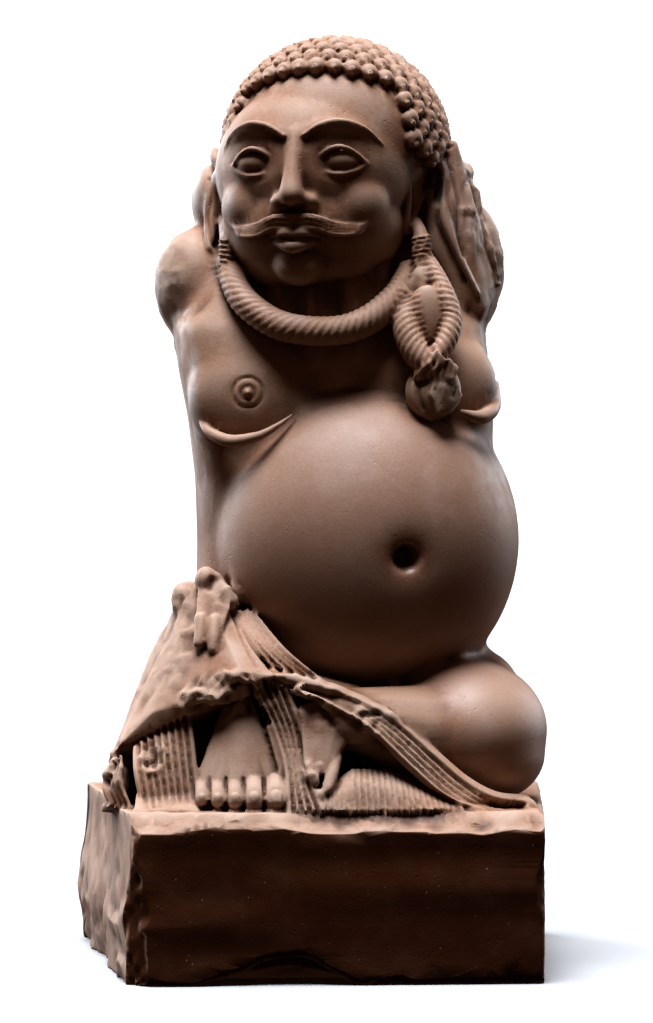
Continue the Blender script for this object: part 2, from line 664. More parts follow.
def hand(clay):
    """What is left of the right hand, with two fingertips, at the side of the belly."""
    mass(clay, [
        (-16.9, -9, 29.4), (-14.8, -9.6, 29.8), (-17.3, -13.6, 22.8), (-14.2, -14.8, 21.6),
        (-12.6, -12.6, 26), (-13.8, -10.8, 28.2), (-16, -7, 27), (-12, -9, 25), (-15, -11, 21),
        (-16.8, -14.2, 21.8),
    ])
    lump(clay, (-15.9, -9.4, 28.4), (1.5, 1.5, 1.8))
    rod(clay, [(-16.6, -13, 23.6, 0.85), (-16.7, -13.9, 21.9, 0.8), (-16.9, -14.5, 20.6, 0.7)])
    rod(clay, [(-14.9, -13.4, 23.4, 0.9), (-15, -14.5, 21.5, 0.9), (-15.1, -15.1, 19.9, 0.8)])
    lump(clay, (-18.1, -6, 25.4), (2.2, 2.4, 2.8))


# The loincloth's pleats: the first and last folds and some between, how many, and their grooves' depth
BAND_TOP = [
    (-3.5, -18.3, 15.5), (-0.5, -18.6, 14.8), (2.6, -18.9, 13.7), (5.2, -19.3, 12.4), (7.7, -19.6, 10.8),
    (10.2, -19.9, 8.7), (12.7, -20.2, 6.4), (16.5, -20, 3.2), (20.3, -18.8, 1.2), (24.4, -15.4, 0.5),
]
BAND_FOOT = [
    (-4.2, -18.9, 14.9), (-1.4, -19.1, 13.8), (1.4, -19.5, 12.3), (3.4, -19.9, 11.2), (5.2, -20.3, 9.8),
    (7.4, -20.7, 7.7), (9.8, -21.1, 5.4), (13.8, -21.6, 2), (17.8, -20.8, 0.5), (23.6, -15.9, 0.1),
]
LAP_PLEATS = [
    [(-12.8, -10.8, 24.4, 0.1), (-11.6, -14.5, 20.8, 0.4), (-10.4, -15.6, 17.9, 0.2)],
    [(-11.6, -10.8, 24.8, 0.1), (-9, -15, 20.3, 0.45), (-5.9, -16.4, 17.1, 0.2)],
    [(-10.3, -10.6, 25.2, 0.1), (-6.4, -15.3, 19.8, 0.45), (-1.5, -16.8, 16, 0.2)],
]
MIDDLE_PLEATS = [
    [(-10.6, -17, 16.9, 0.4), (-8.9, -17.6, 13.2, 0.45), (-7.2, -18, 9.6, 0.45),
     (-5.9, -19.6, 5.2, 0.45), (-5.7, -22, 0.2, 0.42)],
    [(-6, -17, 14.9, 0.4), (-4.9, -17.6, 11.8, 0.45), (-4.1, -18.2, 8.8, 0.45),
     (-3.7, -20, 4.8, 0.45), (-1.8, -22.3, 0.2, 0.42)],
]
SIDE_PLEATS = [
    [(-24.9, -14.2, 7.4, 0.36), (-24.7, -16.9, 4.6, 0.45), (-23.8, -18, 0.2, 0.45)],
    [(-18.4, -14.8, 12.4, 0.36), (-17.8, -16.5, 7.8, 0.45), (-17.2, -17.7, 1.4, 0.45)],
]
STUB_PLEATS = [
    [(-28, -11.4, 5.2, 0.4), (-28.7, -12.2, 2.4, 0.5), (-27.9, -13.2, 0.2, 0.4)],
    [(-26.8, -13.4, 6.2, 0.4), (-26.9, -14.2, 3, 0.5), (-25.8, -14.8, 0.2, 0.4)],
]
HEM_PLEATS = [
    [(-0.6, -18.6, 2.6, 0.36), (-1.2, -21.2, 1.6, 0.4), (-1.4, -22.3, 0, 0.36)],
    [(2.4, -17.6, 4.6, 0.4), (2.2, -20.9, 3.3, 0.45), (2.4, -22.6, 0, 0.42)],
    [(6.6, -17.6, 4.6, 0.4), (6.8, -20.9, 3.1, 0.45), (7, -22.7, 0, 0.42)],
    [(10.6, -18, 3.2, 0.38), (11, -21.1, 1.9, 0.42), (11.4, -22.6, 0, 0.4)],
    [(14.4, -19.4, 1.4, 0.34), (15.2, -21.2, 0.6, 0.34), (15.8, -22, 0, 0.3)],
]
BAND = [[(*p, 0.4) for p in BAND_TOP], [(*p, 0.4) for p in BAND_FOOT]]
PLEATS = (
    (LAP_PLEATS, 7, 0.26), (MIDDLE_PLEATS, 5, 0.42), (SIDE_PLEATS, 9, 0.26), (STUB_PLEATS, 4, 0.35),
    (HEM_PLEATS, 25, 0.24), (BAND, 5, 0.40),
)


def loincloth(clay):
    """The pleats, over the cloth that carries them, and the broken fold of the lap."""
    for keys, count, _ in PLEATS:
        fan(clay, keys, count)
    mass(clay, [
        (-10.4, -17.4, 17.5), (-3, -18.3, 16.1), (1.4, -18.5, 14.8), (0.6, -18.8, 13.8),
        (-2, -18.6, 14.9), (-5, -18.4, 16), (-9, -17.6, 17), (-8, -12, 18), (4, -12, 15),
        (2, -12, 11),
    ])
    mass(clay, [
        (-10.2, -15.8, 16.4), (-6.8, -16.2, 14.6), (-8.8, -16.6, 12.6), (-5, -16.6, 11.4),
        (-6.4, -18, 6.6), (-4.2, -18.4, 6), (-5.4, -21.2, -1), (-2.2, -21.6, -1), (-8, -12, 8),
        (-2, -14, 2),
    ])
    lump(clay, (6.4, -17.8, 0), (8.6, 3.8, 3.9))
    lump(clay, (20.6, -17.3, 0), (4.4, 2, 1.5), (0, 0, 38))
    lump(clay, (23.4, -15.8, 0), (2.4, 1.8, 1.3))
    fan(clay, [[(x, y + 0.9, z, 0.85) for x, y, z in line] for line in (BAND_TOP, BAND_FOOT)], 3)


def block(clay):
    """The block under the figure, wider at its back than at its front."""
    back, half_depth = PLINTH_BACK_WIDTH / 2, PLINTH_DEPTH / 2
    mass(clay, [
        (x, y, z)
        for z in (0, PLINTH_HEIGHT)
        for x, y in ((PLINTH_FRONT_LEFT, -half_depth), (PLINTH_FRONT_RIGHT, -half_depth),
                     (back, half_depth), (-back, half_depth))
    ], frame=LEVEL)


def carving_mesh():
    clay = Clay()
    clay.add_mesh(body_mesh())
    clay.add_mesh(head_mesh())
    for form in (eyes, brows, mouth, ears, hair, locks, necklace, breasts, raised_leg, toes, left_foot,
                 hand, loincloth, block):
        form(clay)
    return fused(clay, CARVING_VOXEL, CARVING_SMOOTHING)


def read_points(mesh, frame):
    """The mesh's points and outward directions, in the frame's own units."""
    count = len(mesh.vertices)
    points = np.empty(count * 3, dtype=np.float32)
    normals = np.empty(count * 3, dtype=np.float32)
    mesh.vertices.foreach_get("co", points)
    mesh.vertex_normals.foreach_get("vector", normals)
    inverse = np.array(frame.inverted(), dtype=np.float64)
    turn = np.array(frame.to_quaternion().to_matrix(), dtype=np.float64)
    local = points.reshape(-1, 3) @ inverse[:3, :3].T + inverse[:3, 3]
    return local, normals.reshape(-1, 3) @ turn


def write_points(mesh, points, frame):
    place = np.array(frame, dtype=np.float64)
    world = points @ place[:3, :3].T + place[:3, 3]
    mesh.vertices.foreach_set("co", world.astype(np.float32).ravel())
    mesh.update()


def nearness(points, centre, radii, softness):
    """1 inside an ellipsoid, falling smoothly to 0 at its surface."""
    reach = np.linalg.norm((points - np.array(centre)) / np.array(radii), axis=1)
    level = np.clip((1 - reach) / softness, 0, 1)
    return level * level * (3 - 2 * level)


def noise(points, size, seed):
    """Smooth noise from -1 to 1, with features about the given size across."""
    cells = 32
    table = np.random.default_rng(seed).uniform(-1, 1, (cells, cells, cells))
    scaled = points / size
    corner = np.floor(scaled).astype(int)
    share = scaled - corner
    share = share * share * (3 - 2 * share)
    total = np.zeros(len(points))
    for step in itertools.product((0, 1), repeat=3):
        weight = np.prod(np.where(step, share, 1 - share), axis=1)
        i, j, k = ((corner + step) % cells).T
        total += weight * table[i, j, k]
    return total


def fracture(points, size, seed):
    """Noise with creases, for broken stone."""
    return 1 - 2 * np.abs(noise(points, size, seed)) + 0.5 * noise(points, size * 0.4, seed + 1)


def along_path(points, path):
    """Each point's distance from a path, how far along it lies, and its offset from the path."""
    nearest = np.full(len(points), np.inf)
    travel = np.zeros(len(points))
    offset = np.zeros((len(points), 3))
    tangent = np.zeros((len(points), 3))
    length = 0.0
    path = np.array(path)
    for start, end in zip(path, path[1:]):
        step = end - start
        size = np.linalg.norm(step)
        if size == 0:
            continue
        share = np.clip((points - start) @ step / size ** 2, 0, 1)
        away = points - start - share[:, None] * step
        distance = np.linalg.norm(away, axis=1)
        closer = distance < nearest
        nearest[closer] = distance[closer]
        travel[closer] = length + share[closer] * size
        offset[closer] = away[closer]
        tangent[closer] = step / size
        length += size
    return nearest, travel, offset, tangent


def close_to(points, path, reach):
    """Indices of the points in the box round a path."""
    path = np.array(path)
    low, high = path.min(0) - reach, path.max(0) + reach
    return np.flatnonzero(np.all((points > low) & (points < high), axis=1))


def score(points, normals, path, width, depth):
    """Cuts a groove along a path, or with a negative depth raises a ridge."""
    line = [p[:3] for p in smooth_path(path)]
    chosen = close_to(points, line, 3 * width)
    if len(chosen) == 0:
        return
    distance = along_path(points[chosen], line)[0]
    amount = depth * np.exp(-(distance / width) ** 2)
    points[chosen] -= normals[chosen] * amount[:, None]


# How near the front of the stone lies to a line drawn on it, how much that depth counts, and the most
# that the stone may face away there
DRAW_REACH = 2.4
DRAW_DEPTH = 0.1
DRAW_FACING = 0.3


def draw(points, normals, path, width, depth):
    """Scores the front of the stone along a path that may float a little in front of it or behind."""
    squash = np.array((1, DRAW_DEPTH, 1))
    line = np.array([p[:3] for p in smooth_path(path)])
    chosen = close_to(points, line, DRAW_REACH)
    chosen = chosen[normals[chosen, 1] < DRAW_FACING]
    if len(chosen) == 0:
        return
    distance = along_path(points[chosen] * squash, line * squash)[0]
    amount = depth * np.exp(-(distance / width) ** 2)
    points[chosen] -= normals[chosen] * amount[:, None]


def hatch(points, normals, rod_points, pitch, slant, depth):
    """Slanting grooves round a rope."""
    path = smooth_path(rod_points)
    line = [p[:3] for p in path]
    widest = max(p[3] for p in path)
    chosen = close_to(points, line, 1.4 * widest)
    distance, travel, offset, tangent = along_path(points[chosen], line)
    side = np.cross(tangent, (0, -1, 0))
    side /= np.linalg.norm(side, axis=1)[:, None] + 1e-9
    up = np.cross(side, tangent)
    angle = np.arctan2((offset * side).sum(1), (offset * up).sum(1))
    wave = 0.5 + 0.5 * np.cos(2 * math.pi * travel / pitch + slant * angle)
    strength = np.clip((1.4 * widest - distance) / (0.2 * widest), 0, 1)
    points[chosen] -= normals[chosen] * (depth * strength * wave ** 2)[:, None]


def curl_spirals(points, normals):
    """A snail's spiral cut into every curl, turning the other way on the other side of the head."""
    head_points = (points - np.array(HEAD_CENTRE)) @ np.array(Matrix.Rotation(HEAD_TURN, 3, "Z"))
    high = np.flatnonzero(head_points[:, 2] > -14)
    local = head_points[high]
    for place, outward, down in curl_places():
        near = np.flatnonzero(np.all(np.abs(local - np.array(place)) < 1.5 * CURL_RADIUS, axis=1))
        away = local[near] - np.array(place + KNOB_DROP * down)
        u, v = away @ np.array(outward.cross(down)), away @ np.array(down)
        radius = np.hypot(u, v)
        spin = 1 if place.x > 0 else -1
        wave = 0.5 + 0.5 * np.cos(spin * np.arctan2(v, u) - 2 * math.pi * radius / CURL_PITCH)
        strength = np.clip((0.85 * CURL_RADIUS - radius) / (0.3 * CURL_RADIUS), 0, 1)
        index = high[near]
        points[index] -= normals[index] * (CURL_GROOVE * strength * wave ** 2)[:, None]


# Where the stone is broken: middle, reach, and how rough it is there. Where that is 0, it is only paler.
BREAKS = (
    ((-20, -6, 17), (9, 12, 13), 0.17),
    ((-14, -18, 14), (8, 3.5, 4), 0.55),
    ((-4, -18.6, 15.6), (7, 2.6, 1.7), 0.30),
    ((5, -20, 11.4), (4, 2.4, 2.6), 0.35),
    ((-27, -12, 5), (3.5, 4, 4), 0.30),
    ((-22, 4, 10), (9, 10, 17), 0.20),
    ((-22.8, -16.8, 6.6), (2.2, 3, 2.6), 0.45),
    ((-1.5, -17, 11.6), (4.5, 3, 3.4), 0.35),
    ((-3, -20.6, 5), (2, 2, 2), 0.30),
    ((-7.3, -22.4, 1.9), (1.6, 1.2, 1.4), 0.14),
    ((-13.6, -10.4, 26.6), (3, 4, 3.6), 0.45),
    ((-18.3, -6, 25.6), (3, 4, 3.6), 0.25),
    ((14.4, -13.4, 52), (3.2, 2.6, 3.6), 0.14),
    ((18.8, -1.6, 76), (2.6, 5, 7), 0.22),
    ((20.5, 4, 66), (5.5, 9, 14), 0.14),
    ((-20.5, 4, 66), (4.4, 9, 10), 0.14),
    ((18.5, 1, 81), (3, 5, 4), 0.28),
    ((0.5, -15.8, 77.2), (2.4, 1.6, 1.6), 0.22),
    ((-6, -21, 6), (23, 7, 11), 0),
)
# Hollows where pieces are gone: middle, reach and depth
DENTS = (
    ((-22.9, -17.6, 6.4), (1.9, 2.6, 2.1), 1.1),
    ((-17, -17.8, 12.4), (2.2, 3, 1.3), 0.9),
    ((-11.6, -18.9, 15.2), (1.8, 2.4, 1.2), 0.8),
    ((-2.6, -18.6, 13.4), (2.2, 1.6, 0.6), 0.4),
    ((4.4, -20, 11.9), (1.8, 2, 0.5), 0.25),
    ((-2.6, -21.4, 5.9), (0.9, 1.2, 0.7), 0.5),
    ((14.4, -3.6, 79.6), (2.2, 3.4, 3.4), 1),
    ((7, -15.5, 8), (7, 5, 3.4), 1.8),
)


def broken_stone(points, normals):
    """Presses in the hollows and roughens the breaks."""
    for centre, radii, depth in DENTS:
        points -= normals * (depth * nearness(points, centre, radii, 0.7))[:, None]
    rough = fracture(points, 2.6, 11) + 0.5 * noise(points, 0.7, 13)
    for centre, radii, depth in BREAKS:
        points += normals * (depth * nearness(points, centre, radii, 0.35) * rough)[:, None]


def on_head(path, side=1):
    """A path given in the head's frame, as one in the figure's, mirrored where side is -1."""
    turn = FIGURE.inverted() @ HEAD
    return [tuple(turn @ Vector(place)) for place in mirrored(path, side)]


def fine_lines(points, normals):
    """Grooves and low ridges that the chisel left on the face, chest, belly, feet and cloth."""
    for side in (-1, 1):
        lid = [
            (2.7, -13.5, -0.3), (4, -13.9, 1.1), (5.7, -13.7, 1.75), (7.6, -12.6, 1.1),
            (9, -11.3, -0.4),
        ]
        score(points, normals, on_head(lid, side), 0.22, 0.14)
        nostril = [(0.7, -15.9, -6.9), (1.5, -15.6, -6.9)]
        score(points, normals, on_head(nostril, side), 0.4, 0.35)
        crease = [(2.9, -14.0, -5.8), (4.0, -13.0, -7.6), (5.2, -12.2, -8.4)]
        score(points, normals, on_head(crease, side), 0.35, 0.14)
    lips = [
        (-3.3, -13.6, -10.8), (-1.2, -15.2, -10.7), (0, -15.2, -10.9), (1.2, -15.2, -10.7),
        (3.3, -13.6, -10.8),
    ]
    score(points, normals, on_head(lips), 0.24, 0.3)
    under_chin = [
        (-6.5, -10.2, -14.6), (-3.5, -12.6, -16), (0, -13.6, -16.6), (3.5, -12.6, -16),
        (6.5, -10.2, -14.6),
    ]
    score(points, normals, on_head(under_chin), 0.6, 0.25)
    for side, strand in itertools.product((-1, 1), range(3)):
        drop = 0.35 + 0.6 * strand
        whisker = [
            (0.5, -15.6, -7.6 - drop), (2.6, -15.4, -7.6 - 0.9 * drop),
            (5.2, -14, -8.6 - 0.8 * drop), (7.6, -12.3, -8.8 - 0.6 * drop),
        ]
        draw(points, normals, on_head(whisker, side), 0.17, 0.16)
    belly_top = [
        (-9.6, -12, 47.9), (-6.8, -11.6, 49.4), (-4.5, -10.8, 50.9), (-1.4, -10.6, 52.2),
        (2.4, -10.4, 52.9), (6.5, -10.6, 52.9), (9.8, -11, 52.2),
    ]
    score(points, normals, belly_top, 0.45, 0.3)
    for radius, width, depth in ((1.95, 0.22, 0.2), (0.9, 0.16, 0.14)):
        ring = [(-10.6 + radius * math.cos(a), -10.3, 52.4 + radius * math.sin(a))
                for a in np.linspace(0, 2 * math.pi, 17)]
        draw(points, normals, ring, width, depth)
    stump = [(-15.6, -4.6, 66.4), (-16.9, -4.0, 62.2), (-18.0, -2.6, 58.6)]
    score(points, normals, stump, 0.8, 0.3)
    shoulder = [
        (17.1, -5.4, 67.6), (19.4, -5.4, 64.7), (20.8, -4.8, 61.5), (21.8, -4, 58.3),
        (21.6, -5, 55), (20.2, -7.4, 52.3),
    ]
    score(points, normals, shoulder, 0.5, 0.45)
    spine = [(0.8, 15.0, 61), (1.0, 15.4, 52), (1.4, 16.8, 38), (1.6, 17.4, 24), (1.4, 17.6, 17)]
    score(points, normals, spine, 1.9, 0.6)
    for x, y, size in TOES:
        nail = [(x + 0.62 * size * math.cos(a), y - 1.4, 1.5 + (0.25 + 0.6 * math.sin(a)) * size)
                for a in np.linspace(-0.5, math.pi + 0.5, 11)]
        draw(points, normals, nail, 0.2, 0.2)
    for (x, y, size), (next_x, next_y, next_size) in zip(TOES, TOES[1:]):
        middle = x + (next_x - x) * size / (size + next_size)
        gap = [(middle, y + 1.2, 3.9), (middle, y, 3.0), (middle, y - 0.6, 1.6), (middle, y - 0.6, 0.5)]
        draw(points, normals, gap, 0.2, 0.3)
    for keys, count, depth in PLEATS:
        for line in spread(keys, (np.arange(count - 1) + 0.5) / (count - 1)):
            draw(points, normals, line, 0.24, depth)
    foot_side = [(-10.9, -17, 16.4), (-9.7, -17.2, 13.6), (-8.4, -17.8, 10.8)]
    draw(points, normals, foot_side, 0.38, 0.8)
    hair_falls = (
        ([(15.6, -3, 83.6), (16.4, -3, 80.4), (17, -3, 77.4), (16.8, -4, 74), (17.6, -4, 70.6)], 0.35, 0.4),
        ([(19, 0, 81), (19.6, -1, 77.6), (20.6, -1, 74.4), (21.2, -1, 71), (22.6, -1, 67.6)], 0.35, 0.35),
        ([(13.2, -4, 80), (14.4, -4, 77.4), (14.2, -4, 74.6), (15.8, -5, 71.2), (17.8, -5, 67.2)], 0.35, 0.3),
        ([(-15.6, -1, 82), (-15, -1, 78.6), (-15.6, -1, 75.4), (-14.8, -2, 72)], 0.3, 0.35),
    )
    for path, width, depth in hair_falls:
        draw(points, normals, path, width, depth)
    tassel_border = [
        (12.4, -13, 56.2), (10.9, -13, 54.6), (10.3, -13, 52.4), (11, -13, 50.2), (12.8, -13, 49),
    ]
    draw(points, normals, tassel_border, 0.3, -0.3)
    inside = [(x + 0.75, y, z) for x, y, z in tassel_border[:4]]
    draw(points, normals, inside, 0.22, 0.25)


# The navel: its middle, where it aims, the depth and radius of its hole and of its lip, and how far back
# it may reach
NAVEL = (9.3, -18.3, 31.3)
NAVEL_AIM = (4.9, -1.5, 33.6)
NAVEL_DEPTH = 2.2
NAVEL_RADIUS = 1.45
NAVEL_LIP_DEPTH = 0.75
NAVEL_LIP_RADIUS = 3.0
NAVEL_BACK = -13


def navel(points):
    """A deep round navel with a soft lip."""
    centre = np.array(NAVEL)
    inward = Vector(NAVEL_AIM) - Vector(NAVEL)
    inward = np.array(inward.normalized())
    reach = np.linalg.norm(np.cross(points - centre, inward), axis=1)
    front = points[:, 1] < NAVEL_BACK
    depth = NAVEL_DEPTH * np.exp(-(reach / NAVEL_RADIUS) ** 3)
    depth += NAVEL_LIP_DEPTH * np.exp(-(reach / NAVEL_LIP_RADIUS) ** 2)
    points += inward * (depth * front)[:, None]


def ramp(values, low, high):
    """0 below one value and 1 above another, with a smooth rise between."""
    share = np.clip((values - low) / (high - low), 0, 1)
    return share * share * (3 - 2 * share)


def shave(points, first, second, width, chosen):
    """Planes an edge off. First and second: each point's distance in from a face, and the way inwards."""
    cut = np.clip(width - (first[0] + second[0]) / math.sqrt(2), 0, None) * chosen / math.sqrt(2)
    points += np.outer(cut, first[1]) + np.outer(cut, second[1])


def weather_block(points):
    """Chips and wear of the block, in metres: its edges, its rough sides and back, and the arch below."""
    front = -PLINTH_DEPTH / 2
    below = points[:, 2] < PLINTH_HEIGHT + 0.001
    forward, up = np.array((0, 1, 0)), np.array((0, 0, 1))
    wear = noise(points, 0.045, 21)
    fine = noise(points, 0.011, 22)
    scallop = 1 - 2 * np.abs(noise(points * (1, 0.3, 0.3), 0.042, 26))
    slant = (PLINTH_BACK_WIDTH / 2 + PLINTH_FRONT_LEFT) / PLINTH_DEPTH

    def left_face():
        return points[:, 0] - PLINTH_FRONT_LEFT + slant * (points[:, 1] - front)

    def from_front():
        return points[:, 1] - front

    def right_face():
        widening = (PLINTH_BACK_WIDTH / 2 - PLINTH_FRONT_RIGHT) / PLINTH_DEPTH
        return PLINTH_FRONT_RIGHT + widening * from_front() - points[:, 0]

    side = below & (left_face() < FACE_REACH)
    bulge = 0.0035 * np.exp(-((points[:, 2] - 0.055) / 0.035) ** 2)
    low = ramp(0.085 - points[:, 2], 0, 0.03)
    broken = (0.0008 + 0.0026 * low) * fracture(points, 0.034, 27)
    rough = 0.0045 * noise(points, 0.075, 23) + broken + 0.0005 * fine
    points[:, 0] -= (bulge + rough - 0.001) * side
    face = below & (from_front() < FACE_REACH)
    points[:, 1] += 0.0020 * noise(points * (0.25, 1, 1), 0.030, 24) * face
    chisel = 0.0010 * noise(points, 0.028, 35) + 0.0007 * fracture(points, 0.016, 36)
    points[:, 0] += (chisel - 0.001) * (below & (right_face() < FACE_REACH))
    top = (PLINTH_HEIGHT - points[:, 2] < 0.002) & below
    points[:, 2] -= (0.0008 + 0.7 * chisel) * top
    back = below & (points[:, 1] > PLINTH_DEPTH / 2 - FACE_REACH)
    turned = points @ np.array(Euler((0.5, 0.6, 0.4)).to_matrix())
    points[:, 1] -= (0.0022 * (1 + noise(turned, 0.04, 25)) + 0.0009 * fracture(turned, 0.019, 28)) * back

    left = ramp(-points[:, 0], 0.10, 0.18)
    worn = noise(points, 0.085, 29)
    width = PLINTH_WEAR * (1 + 0.8 * left + 0.25 * scallop + 0.45 * worn + 0.2 * wear + 0.1 * fine)
    near = below & (from_front() < EDGE_REACH)
    shave(points, (from_front(), forward), (PLINTH_HEIGHT - points[:, 2], -up), width, near)
    start, crown, end = PLINTH_ARCH
    x = points[:, 0]
    span = np.where(x < crown, ramp(x, start, crown), ramp(-x, -end, -crown))
    share = np.clip(1 - from_front() / PLINTH_ARCH_DEPTH, 0, 1)
    arch = PLINTH_ARCH_RISE * span * share * (1 + 0.16 * wear + 0.04 * fine)
    width = ARCH_WEAR * (1 + 0.8 * scallop + 0.5 * wear) + 0.0006 * fine
    shave(points, (from_front(), forward), (points[:, 2] - arch, up), width, near)
    corner = np.array((1, 0, 0))
    chipped = np.exp(-((points[:, 2] - 0.05) / 0.03) ** 2)
    width = LEFT_CORNER_WEAR * (1 + 0.5 * wear + 0.3 * fine + 0.5 * chipped)
    shave(points, (from_front(), forward), (left_face(), corner), width, near)
    width = RIGHT_CORNER_WEAR * (1 + 0.9 * wear + 0.4 * fine)
    shave(points, (from_front(), forward), (right_face(), -corner), width, near)
    width = RIGHT_EDGE_WEAR * (1 + 0.8 * worn + 0.4 * wear + 0.2 * fine)
    shave(points, (right_face(), -corner), (PLINTH_HEIGHT - points[:, 2], -up), width, below)

    points[:, 2] = np.where(below, np.maximum(points[:, 2], arch), points[:, 2])
    points[:, 2] = np.clip(points[:, 2], 0, None)


def smoothed(values, edges, count, rounds):
    """Averages a value at each point with its neighbours' a number of times."""
    degree = np.bincount(edges.ravel(), minlength=count)[:, None] + 1
    for _ in range(rounds):
        total = values.copy()
        for axis in range(values.shape[1]):
            total[:, axis] += np.bincount(edges[:, 0], values[edges[:, 1], axis], count)
            total[:, axis] += np.bincount(edges[:, 1], values[edges[:, 0], axis], count)
        values = total / degree
    return values


def mark(mesh, name, values):
    """Stores how strongly something shows at each point, for the stone to read."""
    layer = mesh.attributes.new(name, "FLOAT", "POINT")
    layer.data.foreach_set("value", np.clip(values, 0, 1).astype(np.float32))


# Where hands have polished the stone: middle, reach, softness and strength
POLISHED = (((4.9, -4, 33), (21, 18, 21), 0.25, 1), ((18, -8, 9), (13, 14, 11), 0.3, 0.6))
# How far a point lies under or over its neighbours where a hollow or ridge shows in full
FULL_HOLLOW = 0.12
FULL_RIDGE = 0.14


def mark_surface(mesh):
    """Marks the hollows, ridges, breaks, polish, dark front of the block and white bloom on the mesh."""
    points, normals = read_points(mesh, FIGURE)
    count = len(points)
    edges = np.empty(len(mesh.edges) * 2, dtype=np.int32)
    mesh.edges.foreach_get("vertices", edges)
    edges = edges.reshape(-1, 2)
    lift = ((points - smoothed(points, edges, count, 4)) * normals).sum(1)
    lift = smoothed(lift[:, None], edges, count, 1)[:, 0]
    mark(mesh, "hollow", -lift / FULL_HOLLOW)
    mark(mesh, "ridge", lift / FULL_RIDGE)
    height = points[:, 2]
    broken = np.zeros(count)
    for centre, radii, _ in BREAKS:
        broken = np.maximum(broken, nearness(points, centre, radii, 0.4))
    in_block = 1 - ramp(height, -0.6, 0.2)
    broken = np.maximum(broken, in_block * ramp(-normals[:, 0], 0.4, 0.7))
    mark(mesh, "broken", broken)
    polish = np.zeros(count)
    for centre, radii, softness, strength in POLISHED:
        polish = np.maximum(polish, strength * nearness(points, centre, radii, softness))
    mark(mesh, "polish", polish)
    edge = ramp(normals[:, 2], 0.15, 0.45) * ramp(height, -4.5, -2.5)
    mark(mesh, "stain", in_block * ramp(-normals[:, 1], 0.3, 0.7) * (1 - edge))
    sideways = ramp(np.abs(normals[:, 0]), 0.55, 0.9) * ramp(np.abs(points[:, 0] - 1.2), 11.5, 15)
    sideways *= ramp(height, 34, 42) * (1 - ramp(height, 84, 88))
    streaks = 0.50 + 1.1 * noise(points * (1, 1, 0.35), 2.2, 31) + 0.8 * noise(points, 0.8, 32)
    mark(mesh, "bloom", sideways * np.clip(streaks, 0, 1))


class Nodes:
    """A short way to lay out a material's nodes."""

    def __init__(self, name):
        self.material = bpy.data.materials.new(name)
        self.material.use_nodes = True
        self.tree = self.material.node_tree
        self.shader = self.tree.nodes["Principled BSDF"]

    def add(self, kind, inputs=(), **settings):
        node = self.tree.nodes.new(kind)
        for key, value in settings.items():
            setattr(node, key, value)
        for key, value in dict(inputs).items():
            if isinstance(value, bpy.types.NodeSocket):
                self.tree.links.new(value, node.inputs[key])
            else:
                node.inputs[key].default_value = value
        return node

    def noise(self, where, scale, detail=4.0, roughness=0.55):
        inputs = {"Vector": where, "Scale": scale, "Detail": detail, "Roughness": roughness}
        return self.add("ShaderNodeTexNoise", inputs).outputs["Fac"]

    def math(self, operation, first, second, clamp=False):
        node = self.add("ShaderNodeMath", {0: first, 1: second}, operation=operation, use_clamp=clamp)
        return node.outputs[0]

    def range(self, value, low, high, to_low=0.0, to_high=1.0):
        inputs = {"Value": value, "From Min": low, "From Max": high, "To Min": to_low, "To Max": to_high}
        return self.add("ShaderNodeMapRange", inputs, clamp=True).outputs["Result"]

    def mix(self, share, first, second):
        node = self.add("ShaderNodeMix", {"Factor": share}, data_type="RGBA")
        for socket, value in ((node.inputs[6], first), (node.inputs[7], second)):
            if isinstance(value, bpy.types.NodeSocket):
                self.tree.links.new(value, socket)
            else:
                socket.default_value = (*value, 1)
        return node.outputs[2]

    def mark(self, name):
        """How strongly something shows, as stored in the mesh."""
        return self.add("ShaderNodeAttribute", attribute_name=name).outputs["Fac"]

    def part_of(self, value, share):
        return self.math("MULTIPLY", value, share)


# The stone's patterns, in features a metre
BROAD_PATCHES = 7
SOIL_PATCHES = 17
MIDDLING_PATCHES = 28
PIT_PATCHES = 34
SPECK_PATCHES = 60
SPECKS = 150
GRAIN = 420
# How high its grain and pits look, in metres
BUMP_HEIGHT = 0.0012
# Its colours
MIDDLE_STONE = (0.400, 0.232, 0.145)
DARK_STONE = (0.270, 0.130, 0.068)
PALE_STONE = (0.500, 0.370, 0.290)
FRESH_STONE = (0.385, 0.275, 0.208)
POLISHED_STONE = (0.285, 0.128, 0.077)
STAINED_STONE = (0.082, 0.027, 0.010)
GRIME = (0.050, 0.020, 0.009)
SPECK = (0.620, 0.500, 0.380)
WHITE_BLOOM = (0.620, 0.560, 0.510)


